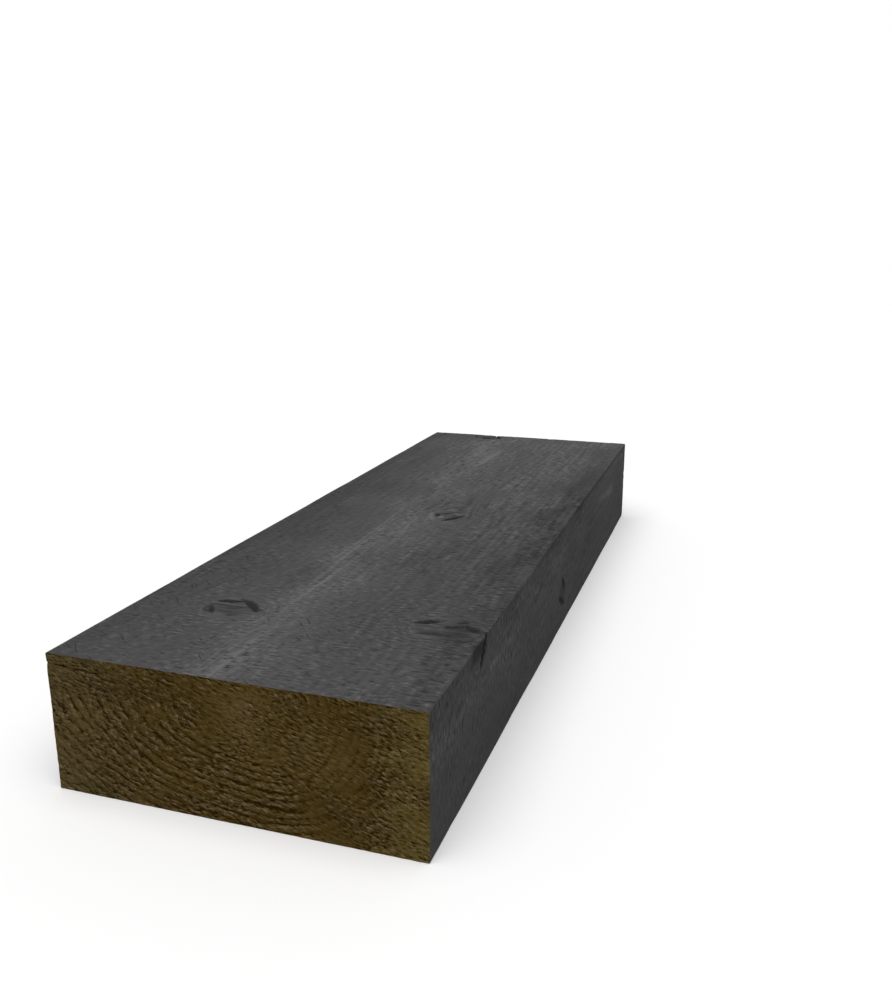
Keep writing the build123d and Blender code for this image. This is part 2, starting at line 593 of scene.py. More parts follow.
def open_clefts(along, girth):
    """How deep the clefts are at a place, how far it is inside the nearest cleft, and that cleft's strength.

    A cleft is a lens round an arc. Its half gap and its bow are largest halfway and fall to both tips as
    the square. The distance inside is negative beside it, down to where the cleft no longer counts.
    """
    outside = -3 * MM
    wall_top = -0.5 * MM
    wall_foot = 1.7 * MM
    depth = np.zeros(np.broadcast(along, girth).shape)
    strength = depth.copy()
    nearest = depth + outside
    ragged = 0.25 * MM * ripple(37, along / (4 * MM), girth / (4 * MM))
    for knot in OPEN_KNOTS:
        for arc in knot.clefts:
            ahead = along - knot.along - arc.start.x
            aside = girth_from(knot.girth, girth) - arc.start.y
            line = arc.stop - arc.start
            run = (ahead * line.x + aside * line.y) / line.length
            off = (aside * line.x - ahead * line.y) / line.length
            part = np.clip(run / line.length, 0, 1)
            hump = 4 * part * (1 - part)
            distance = np.hypot(run - part * line.length, off - arc.bow * hump)
            inside = arc.half_gap * hump - distance + ragged
            depth = np.maximum(depth, arc.strength * ease(wall_top, wall_foot, inside))
            strength = np.where(inside > nearest, arc.strength, strength)
            nearest = np.maximum(inside, nearest)
    return depth, nearest, strength


def crack_inside(x, z):
    """How far a place on a cut end is inside the crack, negative beside it and level far from it.

    The crack is a lens round a straight line: its half gap falls off to both tips as the square.
    """
    outside = -6 * MM
    tip = END_CRACK.start
    line = END_CRACK.stop - tip
    right = x - tip.x
    below = HIGH.z - z - tip.y
    share = np.clip((right * line.x + below * line.y) / line.length_squared, 0, 1)
    distance = np.hypot(right - share * line.x, below - share * line.y)
    return np.maximum(outside, END_CRACK.half_gap * (1 - (2 * share - 1) ** 2) - distance)


def streaked(streaks, along, girth):
    """Sum of streaks: each a bell across its line, fading over a third of its length at both ends.

    The lines waver together, each by about a third of its half width.
    """
    fading = 0.35
    wavering = 0.35 * ripple(17, along / (90 * MM))
    tone = np.zeros(np.broadcast(along, girth).shape)
    for band in streaks:
        length = band.stop - band.start
        fade = fading * length
        drift = band.drift * (along - band.start) / length
        offset = girth_from(band.girth, girth) - drift - band.half_width * wavering
        ends = ease(0, fade, along - band.start) * ease(0, fade, band.stop - along)
        tone += band.strength * ends * np.exp(-((offset / band.half_width) ** 2))
    return tone


def patched(patches, right, below, power=2):
    """Sum of patches, each a bell, which has a flatter top for a larger even power."""
    total = np.zeros(np.broadcast(right, below).shape)
    for spot in patches:
        wide = (right - spot.right) / spot.half_wide
        high = (below - spot.below) / spot.half_high
        total += spot.strength * np.exp(-(wide**power) - high**power)
    return total


# The timber's surface


class Section(NamedTuple):
    """The grid over a cut end, and the loop of its rim.

    x and z are the eased places, columns by rows; column and row are the rim's indices, clockwise from
    the upper left as the near end is seen; girth, right and up are the rim's girth and outward normal.
    """

    x: np.ndarray
    z: np.ndarray
    column: np.ndarray
    row: np.ndarray
    girth: np.ndarray
    right: np.ndarray
    up: np.ndarray


def crowded_lines(low, high, wide, close, centres, reaches):
    """Lines from low to high, wide steps apart, and close steps apart within reach of a centre.

    Lines per metre are 1 / wide plus a flat-topped bell round each centre, and their running total is
    cut into equal parts.
    """
    samples = 6001
    fine = np.linspace(low, high, samples)
    bells = np.exp(-(((fine[:, None] - np.array(centres)) / np.array(reaches)) ** 4)).max(axis=1)
    density = 1 / wide + (1 / close - 1 / wide) * bells
    total = np.concatenate(([0], np.cumsum((density[1:] + density[:-1]) / 2 * np.diff(fine))))
    return np.interp(np.linspace(0, total[-1], round(total[-1]) + 1), total, fine)


def cleft_reach(knot):
    """How far round the girth a knot's clefts reach from its heart."""
    return max(abs(tip.y) for arc in knot.clefts for tip in (arc.start, arc.stop))


def section_lines(shape, low, high, centres, reaches):
    """Lines across the section, close beside open knots, with one more halfway over each eased rim."""
    rim = shape.arris_radius
    lines = crowded_lines(low + rim, high - rim, shape.section_step, shape.knot_step, centres, reaches)
    return np.concatenate(([low, low + rim / 2], lines, [high - rim / 2, high]))


def rim_loop(columns, rows):
    """Columns and rows of a grid's border, clockwise from the upper left as the near end is seen."""
    column = np.concatenate((
        np.arange(columns), np.full(rows - 1, columns - 1),
        np.arange(columns - 2, -1, -1), np.zeros(rows - 2, int),
    ))
    row = np.concatenate((
        np.full(columns, rows - 1), np.arange(rows - 2, -1, -1),
        np.zeros(columns - 1, int), np.arange(1, rows - 1),
    ))
    return column, row


def eased_section(shape):
    """The section's grid, with each corner square pressed onto a quarter disc.

    A place in a corner square, from -1 to 1 aside and above, goes to aside times sqrt(1 - above^2 / 2), and
    above times sqrt(1 - aside^2 / 2).
    """
    rim = shape.arris_radius
    on_top = [knot for knot in OPEN_KNOTS if knot.girth < RIGHT_SIDE]
    on_right = [knot for knot in OPEN_KNOTS if knot.girth + knot.radius_across > RIGHT_SIDE]
    centres_x = [LOW.x + girth for girth in (*(knot.girth for knot in on_top), PALE_BAND)]
    reaches_x = [*(cleft_reach(knot) for knot in on_top), PALE_REACH]
    centres_z = [HIGH.z + RIGHT_SIDE - knot.girth for knot in on_right]
    reaches_z = [cleft_reach(knot) for knot in on_right]
    lines_x = section_lines(shape, LOW.x, HIGH.x, centres_x, reaches_x)
    lines_z = section_lines(shape, LOW.z, HIGH.z, centres_z, reaches_z)
    flat_x, flat_z = np.meshgrid(lines_x, lines_z, indexing="ij")
    middle_x = np.clip(flat_x, LOW.x + rim, HIGH.x - rim)
    middle_z = np.clip(flat_z, LOW.z + rim, HIGH.z - rim)
    aside = (flat_x - middle_x) / rim
    above = (flat_z - middle_z) / rim
    right = aside * np.sqrt(1 - above**2 / 2)
    up = above * np.sqrt(1 - aside**2 / 2)
    column, row = rim_loop(*flat_x.shape)
    steps = np.abs(np.diff(flat_x[column, row])) + np.abs(np.diff(flat_z[column, row]))
    girth = np.concatenate(([0], np.cumsum(steps)))
    x = middle_x + rim * right
    z = middle_z + rim * up
    return Section(x, z, column, row, girth, right[column, row], up[column, row])


class Skin(NamedTuple):
    """The four long faces, rim places by stations: where the grid is, and what the wood is like there."""

    x: np.ndarray
    y: np.ndarray
    z: np.ndarray
    along: np.ndarray
    girth: np.ndarray
    flow: np.ndarray
    rings: np.ndarray
    knot: np.ndarray
    cleft: np.ndarray
    split: np.ndarray
    tone: np.ndarray
    rough: np.ndarray
    depth: np.ndarray


def skin_depth(shape, along, girth, rings, knot, sunk):
    """How far the long faces lie below the saw's flat cut.

    Soft early wood has worn down between ridges of late wood, the saw wavered, the wood dips round each
    knot and in its heart, clefts open beside it, arrises are bruised, and cut edges have lost splinters.
    """
    dip_depth = 0.2 * MM
    dip_share = 1.25
    dip_reach = 0.35
    heart_depth = 0.35 * MM
    collar_height = 0.12 * MM
    bruise_reach = 2 * MM
    bruise_rarity = 0.4
    splinter_reach = 3 * MM
    splinter_rarity = 0.9
    flecks = 0.25 * ripple(5, along / (60 * MM), girth / (4 * MM))
    depth = shape.raised_grain * (1.1 - latewood(rings) - flecks)
    depth += shape.saw_waver * ripple(7, along / (110 * MM), girth / (30 * MM))
    dip = dip_depth * np.exp(-(((knot - dip_share) / dip_reach) ** 2))
    heart = heart_depth * ease(0.8, 0.1, knot) - collar_height * ease(1.0, 0.85, knot)
    depth += dip + heart
    from_arris = np.min([np.abs(girth_from(arris, girth)) for arris in ARRISES], axis=0)
    bruise = np.maximum(ripple(13, along / (35 * MM), girth / (20 * MM)) - bruise_rarity, 0)
    depth += shape.arris_wear * bruise * np.exp(-from_arris / bruise_reach)
    from_end = np.minimum(along, LENGTH - along)
    splinter = np.maximum(ripple(19, girth / (12 * MM), along / (300 * MM)) - splinter_rarity, 0)
    depth += shape.chip_depth * splinter * np.exp(-from_end / splinter_reach)
    return np.maximum(depth, 0) * (1 - sunk) + shape.cleft_depth * sunk


def sawn_skin(shape, section):
    """The long faces: the eased rim carried along the stations, and sunk along its normals by the relief."""
    bend = 1.1 * MM
    bend_size = 16 * MM
    crowded = [NEAR_WHORL + 3 * MM, MIDDLE_WHORL, FAR_WHORL, 0, LENGTH]
    reaches = [20 * MM, 15 * MM, 12 * MM, 12 * MM, 12 * MM]
    along = crowded_lines(0, LENGTH, shape.clear_stride, shape.knot_stride, crowded, reaches)[None, :]
    girth = section.girth[:, None]
    shift = grain_shift(along, girth)
    rim_x = section.x[section.column, section.row][:, None]
    rim_z = section.z[section.column, section.row][:, None]
    right = section.right[:, None]
    up = section.up[:, None]
    y = LOW.y + along + 0 * girth
    rings = ring_radius(shape, rim_x + shift * up, y, rim_z - shift * right) / shape.ring_width
    bent_along = along + bend * ripple(23, along / bend_size, girth / bend_size)
    bent_girth = girth + bend * ripple(29, along / bend_size, girth / bend_size)
    shares = [knot_share(knot, bent_along, bent_girth) for knot in KNOTS]
    knot = np.minimum(np.min(shares, axis=0), CLEAR_WOOD)
    sunk, inside, split = open_clefts(along, girth)
    depth = skin_depth(shape, along, girth, rings, knot, sunk)
    uneven = 0.2 * ripple(31, along / (90 * MM), girth / (20 * MM))
    rough = np.clip(streaked(ROUGH, along, girth) + uneven, 0, 1)
    return Skin(
        rim_x - right * depth, y, rim_z - up * depth, along + 0 * girth, girth + 0 * along,
        girth + shift, rings, knot, inside, split, streaked(STREAKS, along, girth), rough, depth,
    )


class CutEnd(NamedTuple):
    """A cut end, columns by rows: where the grid is, and what the wood is like there."""

    x: np.ndarray
    y: np.ndarray
    z: np.ndarray
    tear_along: np.ndarray
    tear_across: np.ndarray
    rings: np.ndarray
    crack: np.ndarray
    torn: np.ndarray
    follow: np.ndarray
    lined: np.ndarray


def torn_rows(right, below, radius, slope):
    """Where the tears of a cut end follow its rings, and how far the rings show as rows.

    Tears follow rings that fall to the right or run level, away from the pith. Those rings show as rows away
    from the top and the right side, most of all in the long level rows under the pith. Rings that rise to
    the right show faintly.
    """
    level_or_less = ease(radians(30), radians(10), slope) * ease(radians(-85), radians(-65), slope)
    follow = level_or_less * ease(10 * MM, 24 * MM, radius)
    off_pith = ease(14 * MM, 34 * MM, radius)
    off_top = ease(8 * MM, 30 * MM, below)
    off_sides = ease(165 * MM, 140 * MM, right) * (0.6 + 0.4 * ease(0, 20 * MM, right))
    long_rows = 0.52 + patched(LONG_ROWS, right, below, power=4)
    falling = follow * off_pith * off_top * off_sides * long_rows
    upwards = ease(radians(10), radians(35), slope) * ease(20 * MM, 34 * MM, radius)
    rising = upwards * ease(8 * MM, 16 * MM, below) * ease(190 * MM, 178 * MM, right)
    return follow, np.maximum(falling, 0.18 * rising)


def smoothed(right, below):
    """How smooth the saw left a cut end: round the pith, in a strip to its right and by the left side.

    By the right side it is below 0, for rougher wood.
    """
    strip = ease(130 * MM, 145 * MM, right) * ease(178 * MM, 165 * MM, right) * ease(8 * MM, 20 * MM, below)
    sides = 0.2 * ease(25 * MM, 0, right) - 0.15 * ease(165 * MM, 180 * MM, right)
    return 0.18 * strip + sides + patched(BURNISHED, right, below)


def drawn_in(section, rim_depth):
    """Places over a cut end, drawn in with its sunken rim by a share that falls off exponentially inwards."""
    settle = 4 * MM
    loop = np.zeros(section.x.shape, int)
    loop[section.column, section.row] = np.arange(len(section.column))
    from_left = rim_depth[loop[0, :]] * np.exp(-(section.x - LOW.x) / settle)
    from_right = rim_depth[loop[-1, :]] * np.exp(-(HIGH.x - section.x) / settle)
    from_low = rim_depth[loop[:, 0]][:, None] * np.exp(-(section.z - LOW.z) / settle)
    from_high = rim_depth[loop[:, -1]][:, None] * np.exp(-(HIGH.z - section.z) / settle)
    return section.x + from_left - from_right, section.z + from_low - from_high


def cut_end(shape, section, end_y, inward, rim_depth, seed):
    """A cut end: the section's grid, sunk along the grain by torn fibres and drawn in with its rim.

    The saw dragged the fibres down to the right. Where the rings run nearly that way, tears follow them.
    """
    saw_slope = radians(16)
    crack_depth = 1.6 * MM
    radius = ring_radius(shape, section.x, end_y + 0 * section.x, section.z)
    rings = radius / shape.ring_width
    right = section.x - LOW.x
    below = HIGH.z - section.z
    follow, lined = torn_rows(right, below, radius, ring_slope(shape, section.x, section.z))
    tear_along = section.x * cos(saw_slope) - section.z * sin(saw_slope)
    tear_across = -section.x * sin(saw_slope) - section.z * cos(saw_slope)
    uneven = 0.15 * ripple(seed, section.x / (30 * MM), section.z / (30 * MM))
    torn = np.clip(1 - smoothed(right, below) + uneven, 0.3, 1.3)
    ragged = 0.12 * MM * ripple(seed + 1, section.x / (4 * MM), section.z / (4 * MM))
    crack = crack_inside(section.x, section.z) + ragged
    grooves = lined * np.cos(tau * (rings - 0.65))
    tufts = ripple(seed + 3, tear_along / (9 * MM), tear_across / (3.4 * MM))
    inset = np.min([right, HIGH.x - section.x, below, section.z - LOW.z], axis=0)
    relief = torn * (0.4 - 0.12 * grooves + 0.25 * tufts) * ease(-1 * MM, 3 * MM, inset)
    depth = np.maximum(shape.torn_depth * relief, 0) + crack_depth * ease(-0.3 * MM, 0.5 * MM, crack)
    x, z = drawn_in(section, rim_depth)
    return CutEnd(x, end_y + inward * depth, z, tear_along, tear_across, rings, crack, torn, follow, lined)


class Timber(NamedTuple):
    """The closed mesh: places, four-sided faces, the count of those on long faces, maps and attributes."""

    places: np.ndarray
    faces: np.ndarray
    long_faces: int
    maps: dict
    attributes: dict


def inner(grid):
    """A cut end's values without its rim, as one row."""
    return grid[1:-1, 1:-1].ravel()


def grid_quads(index):
    """The four corners of each cell of a grid of vertex numbers."""
    return np.stack((index[:-1, :-1], index[1:, :-1], index[1:, 1:], index[:-1, 1:]), axis=-1).reshape(-1, 4)


def end_index(section, rim, first):
    """Vertex numbers over a cut end: the skin's rim on its border, and new ones, from first on, inside."""
    columns, rows = section.x.shape
    index = np.zeros((columns, rows), int)
    index[1:-1, 1:-1] = first + np.arange((columns - 2) * (rows - 2)).reshape(columns - 2, rows - 2)
    index[section.column, section.row] = rim
    return index


def corner_values(grid):
    """The values of a grid at the four corners of each of its cells, in the order of grid_quads."""
    return grid_quads(grid).ravel()


def closed_round(grid, last):
    """A skin grid with one more row at the end, for the cells of the seam."""
    return np.vstack((grid, last))


def whole_timber(shape):
    """The skin and both cut ends, joined along their rims into one closed surface."""
    section = eased_section(shape)
    skin = sawn_skin(shape, section)
    near = cut_end(shape, section, LOW.y, 1, skin.depth[:, 0], seed=41)
    far = cut_end(shape, section, HIGH.y, -1, skin.depth[:, -1], seed=61)
    rim = section.column, section.row
    y = skin.y.copy()
    y[:, 0] = near.y[rim]
    y[:, -1] = far.y[rim]

    count, stations = skin.x.shape
    skin_index = np.arange(count * stations).reshape(count, stations)
    near_index = end_index(section, skin_index[:, 0], count * stations)
    far_index = end_index(section, skin_index[:, -1], near_index.max() + 1)
    ring_index = closed_round(skin_index, skin_index[:1])
    faces = np.concatenate((grid_quads(ring_index), grid_quads(near_index), grid_quads(far_index)[:, ::-1]))

    def joined(on_skin, on_near, on_far):
        return np.concatenate((on_skin.ravel(), inner(on_near), inner(on_far)))

    no_skin = np.zeros(skin.x.shape)
    no_end = np.zeros(section.x.shape)
    near_tone = patched(TONES, section.x - LOW.x, HIGH.z - section.z)
    attributes = {
        "ring": joined(skin.rings, near.rings, far.rings),
        "knot": joined(skin.knot, no_end + CLEAR_WOOD, no_end + CLEAR_WOOD),
        "cleft": joined(skin.cleft, near.crack, far.crack),
        "split": joined(skin.split, no_end, no_end),
        "tone": joined(skin.tone, near_tone, no_end),
        "rough": joined(skin.rough, no_end, no_end),
        "torn": joined(no_skin, near.torn, far.torn),
        "follow": joined(no_skin, near.follow, far.follow),
        "lined": joined(no_skin, near.lined, far.lined),
    }
    x = joined(skin.x, near.x, far.x)
    y = joined(y, near.y, far.y)
    z = joined(skin.z, near.z, far.z)
    maps = {"grain": grain_map(skin, near, far), "OFBake": bake_map(section, skin)}
    return Timber(np.stack((x, y, z), axis=-1), faces, count * (stations - 1), maps, attributes)


def far_corners(grid):
    """Corner values of the far end, whose cells are wound the other way."""
    return grid_quads(grid)[:, ::-1].ravel()


def grain_map(skin, near, far):
    """A map whose U runs along the fibres and V across them, in metres, on the skin and on both ends."""
    along = closed_round(skin.along, skin.along[:1])
    flow = closed_round(skin.flow, skin.flow[:1] + GIRTH)
    u = np.concatenate((corner_values(along), corner_values(near.tear_along), far_corners(far.tear_along)))
    v = np.concatenate((corner_values(flow), corner_values(near.tear_across), far_corners(far.tear_across)))
    return np.stack((u, v), axis=-1)


def bake_map(section, skin):
    """The faces laid side by side in a square: four strips along the grain, and the two ends above them."""
    gap = 3 * MM
    gaps = 7
    side = GIRTH + THICKNESS + gaps * gap
    along = corner_values(closed_round(skin.along, skin.along[:1]))
    girth = corner_values(closed_round(skin.girth, skin.girth[:1] + GIRTH))
    middle = girth.reshape(-1, 4).mean(axis=1).repeat(4)
    strip = np.searchsorted([RIGHT_SIDE, UNDERSIDE, LEFT_SIDE], middle)
    right = corner_values(section.x) - LOW.x
    high = corner_values(section.z) - LOW.z
    mirrored = WIDTH - (far_corners(section.x) - LOW.x)
    far_high = far_corners(section.z) - LOW.z
    u = np.concatenate((along + gap, right + gap, mirrored + WIDTH + 2 * gap)) / side
    v = np.concatenate((side - girth - (strip + 1) * gap, high + gap, far_high + gap)) / side
    return np.stack((u, v), axis=-1)


def add_mesh_object(name, places, faces):
    """A new mesh object at the origin, from an array of places and an array of four-sided faces."""
    mesh = bpy.data.meshes.new(name)
    mesh.vertices.add(len(places))
    mesh.vertices.foreach_set("co", places.ravel())
    mesh.loops.add(faces.size)
    mesh.loops.foreach_set("vertex_index", faces.ravel())
    mesh.polygons.add(len(faces))
    mesh.polygons.foreach_set("loop_start", np.arange(0, faces.size, 4))
    mesh.update(calc_edges=True)
    mesh.validate()
    piece = bpy.data.objects.new(name, mesh)
    bpy.context.scene.collection.objects.link(piece)
    return piece


def mark_cut_edges(mesh, kinds):
    """Marks as sharp the edges round the cut ends, where a face of kind 0 and one of kind 1 meet."""
    edges = np.zeros(len(mesh.loops), int)
    mesh.loops.foreach_get("edge_index", edges)
    ends = np.bincount(edges, weights=kinds.repeat(4), minlength=len(mesh.edges))
    sharp = mesh.attributes.new("sharp_edge", "BOOLEAN", "EDGE")
    sharp.data.foreach_set("value", ends == 1)


# Shader maths


class Value:
    """An output socket, on which Python arithmetic adds Math nodes."""

    def __init__(self, finish, output):
        self.finish = finish
        self.output = output

    def __add__(self, other):
        return self.finish.maths("ADD", self, other)

    def __radd__(self, other):
        return self.finish.maths("ADD", other, self)

    def __sub__(self, other):
        return self.finish.maths("SUBTRACT", self, other)

    def __rsub__(self, other):
        return self.finish.maths("SUBTRACT", other, self)

    def __mul__(self, other):
        return self.finish.maths("MULTIPLY", self, other)

    def __rmul__(self, other):
        return self.finish.maths("MULTIPLY", other, self)

    def __mod__(self, other):
        return self.finish.maths("FLOORED_MODULO", self, other)


class Finish:
    """A node tree being wired up for a surface or the world."""

    def __init__(self, tree):
        self.tree = tree
        self.tree.nodes.clear()

    def node(self, kind, settings, inputs):
        """Adds a node: its settings are set first, then its sockets get values or links, by identifier."""
        node = self.tree.nodes.new("ShaderNode" + kind)
        for name, setting in settings.items():
            setattr(node, name, setting)
        sockets = {socket.identifier: socket for socket in node.inputs}
        for identifier, given in inputs.items():
            if isinstance(given, Value):
                self.tree.links.new(given.output, sockets[identifier])
            else:
                sockets[identifier].default_value = given
        return {socket.identifier: Value(self, socket) for socket in node.outputs}

    def maths(self, operation, first, second):
        return self.node("Math", {"operation": operation}, {"Value": first, "Value_001": second})["Value"]

    def larger(self, first, second):
        return self.maths("MAXIMUM", first, second)

    def ramp(self, value, start, stop):
        """0 before start and 1 after stop, along an S between them; start may be the larger."""
        inputs = {"Value": value, "From Min": min(start, stop), "From Max": max(start, stop)}
        if start > stop:
            inputs.update({"To Min": 1.0, "To Max": 0.0})
        return self.node("MapRange", {"interpolation_type": "SMOOTHSTEP"}, inputs)["Result"]

    def mixed(self, share, first, second):
        """A colour between two."""
        settings = {"data_type": "RGBA", "clamp_factor": True}
        inputs = {"Factor_Float": share, "A_Color": first, "B_Color": second}
        return self.node("Mix", settings, inputs)["Result_Color"]

    def attribute(self, name):
        return self.node("Attribute", {"attribute_name": name}, {})["Fac"]

    def map(self, name):
        """Places in one of the piece's own maps."""
        return self.node("UVMap", {"uv_map": name}, {})["UV"]

    def part(self, place, axis):
        """One part of a place."""
        return self.node("SeparateXYZ", {}, {"Vector": place})[axis]

    def stretched(self, place, along, across, turn=0.0):
        """A place turned in the surface, then divided by the lengths of the marks along and across."""
        inputs = {"Vector": place, "Rotation": (0.0, 0.0, turn)}
        turned = self.node("Mapping", {"vector_type": "POINT"}, inputs)["Vector"]
        inputs = {"Vector": turned, "Vector_001": (1 / along, 1 / across, 1.0)}
        return self.node("VectorMath", {"operation": "MULTIPLY"}, inputs)["Vector"]

    def noise(self, place, along, across, detail=3.0, roughness=0.55):
        """Soft noise, centred on 0, of marks with these lengths."""
        stretched = self.stretched(place, along, across)
        inputs = {"Vector": stretched, "Scale": 1.0, "Detail": detail, "Roughness": roughness}
        return self.node("TexNoise", {"noise_dimensions": "2D"}, inputs)["Fac"] - 0.5

    def cells(self, place):
        """The cells of a Voronoi pattern, one for each unit of a place."""
        return self.node("TexVoronoi", {"voronoi_dimensions": "2D"}, {"Vector": place, "Scale": 1.0})

    def flakes(self, place, along, across):
        """Overlapping flakes, one for each cell of a stretched Voronoi pattern.

        A flake falls from about 0.5 on its upper edge to -0.5 on its lower one.
        """
        stretched = self.stretched(place, along, across)
        inputs = {"Vector": self.cells(stretched)["Position"], "Vector_001": stretched}
        return self.part(self.node("VectorMath", {"operation": "SUBTRACT"}, inputs)["Vector"], "Y")

    def bent(self, place, size, amount):
        """A place moved about by soft noise of this size, by up to this amount."""
        inputs = {"Vector": self.stretched(place, size, size), "Scale": 1.0}
        noise = self.node("TexNoise", {"noise_dimensions": "2D"}, inputs)["Color"]
        inputs = {"Vector": noise, "Vector_001": (amount, amount, 0.0), "Vector_002": place}
        return self.node("VectorMath", {"operation": "MULTIPLY_ADD"}, inputs)["Vector"]

    def strokes(self, place, along, across, turn, share):
        """Thin strokes, one in each kept cell of a stretched and turned Voronoi pattern.

        A stroke is 1 on its line and falls to 0 beside it; only a share of the cells is kept.
        """
        edge = 0.42
        core = 0.12
        softness = 0.02
        cells = self.cells(self.stretched(place, along, across, turn))
        pick = self.node("SeparateColor", {}, {"Color": cells["Color"]})["Red"]
        return self.ramp(cells["Distance"], edge, core) * self.ramp(pick, share, share - softness)

    def surface(self, colour, roughness, height, specular):
        """A matt surface, with its relief in millimetres."""
        bump = self.node("Bump", {}, {"Strength": 1.0, "Distance": MM, "Height": height})["Normal"]
        inputs = {
            "Base Color": colour, "Roughness": roughness, "Normal": bump, "Specular IOR Level": specular,
        }
        shader = self.node("BsdfPrincipled", {}, inputs)["BSDF"]
        self.node("OutputMaterial", {}, {"Surface": shader})


def new_finish(name):
    material = bpy.data.materials.new(name)
    material.use_nodes = True
    return material, Finish(material.node_tree)


def opaque(colour):
    return (*colour, 1.0)


# Finishes


def hair_checks(stain, grain, clear):
    """Hair-fine checks in clear wood: strokes at two slants on bent grain, fewer towards the far end.

    The right side has wider ones too, close to the near end and away from the underside.
    """
    along = stain.part(grain, "X")
    girth = stain.part(grain, "Y")
    bent = stain.bent(grain, size=30 * MM, amount=10 * MM)
    long_hair = stain.strokes(bent, along=20 * MM, across=1.2 * MM, turn=radians(45), share=0.04)
    short_hair = stain.strokes(bent, along=11 * MM, across=1.0 * MM, turn=radians(60), share=0.04)
    side_hair = stain.strokes(bent, along=24 * MM, across=3.2 * MM, turn=radians(66), share=0.22)
    near = stain.ramp(along, LENGTH * 0.6, LENGTH * 0.1)
    on_side = stain.ramp(girth, RIGHT_SIDE, RIGHT_SIDE + 2 * MM)
    on_side = on_side * stain.ramp(girth, UNDERSIDE - 10 * MM, UNDERSIDE - 45 * MM)
    on_side = on_side * stain.ramp(along, LENGTH * 0.25, LENGTH * 0.02)
    hair = stain.larger(long_hair, short_hair) * (0.3 + near * 0.7) * clear
    return stain.larger(hair, side_hair * on_side)


def charcoal_stain(look):
    """Charcoal stain on sawn softwood: flecks across the fibres, rubbed streaks, hair checks and knots, with
    painted shade in the clefts and checks and painted highlights beside the knots.
    """
    material, stain = new_finish("charcoal_stain")
    grain = stain.map("grain")
    tone = stain.attribute("tone")
    rough = stain.attribute("rough")
    far = stain.ramp(stain.part(grain, "X"), LENGTH * 0.1, LENGTH * 0.6)
    fibres = stain.noise(grain, along=16 * MM, across=1.6 * MM, detail=2.0, roughness=0.6)
    flecks = stain.noise(grain, along=1.7 * MM, across=5.4 * MM, detail=1.5)
    dashes = stain.ramp(flecks, 0.04, 0.28) - stain.ramp(flecks, -0.05, -0.28) * 0.8
    ripples = stain.noise(grain, along=8 * MM, across=5.5 * MM, detail=1.0, roughness=0.5)
    bands = stain.noise(grain, along=220 * MM, across=14 * MM, detail=4.0, roughness=0.6)
    lines = stain.noise(grain, along=60 * MM, across=3.2 * MM, detail=1.0)
    branch = stain.noise(grain, along=1.4 * MM, across=9 * MM)
    in_knot = stain.ramp(stain.attribute("knot") + branch * 0.6, 1.15, 0.65)
    torn_lip = stain.attribute("cleft") + (flecks + branch) * (1.4 * MM)
    clefts = stain.ramp(torn_lip, -1.2 * MM, 0.6 * MM) * stain.attribute("split") * (1.0 + flecks * 0.6)
    hair = hair_checks(stain, grain, (1.0 - in_knot) * (1.15 - rough * 0.7))

    light = 0.42 + fibres * 0.15 + dashes * (0.14 + rough * 0.24) * (1.0 + lines * 1.2) + bands * 0.19
    light = light + (ripples * (0.12 + rough * 0.4) + lines * (0.15 + rough * 0.5)) * (0.4 + far * 0.6)
    # The tone streaks include painted highlights on the raised rims beside the open knots.
    light = light + tone * 0.35 + stain.larger(tone, 0.0) * (fibres * 0.7 + dashes * 0.5)
    light = light - in_knot * (0.16 - branch * 0.35)
    colour = stain.mixed(light, opaque(look.deep), opaque(look.thin))
    # Painted shade: the clefts and hair checks are darkened towards the cleft colour, for the shade inside
    # them as well as pooled stain.
    colour = stain.mixed(stain.larger(hair * 0.55, clefts * 0.88), colour, opaque(look.cleft))
    height = fibres * 0.06 + flecks * (0.12 + rough * 0.32) + in_knot * branch * 0.15
    height = height - hair * 0.2 - clefts * 0.4
    stain.surface(colour, look.roughness - flecks * 0.2, height, specular=0.04)
    return material


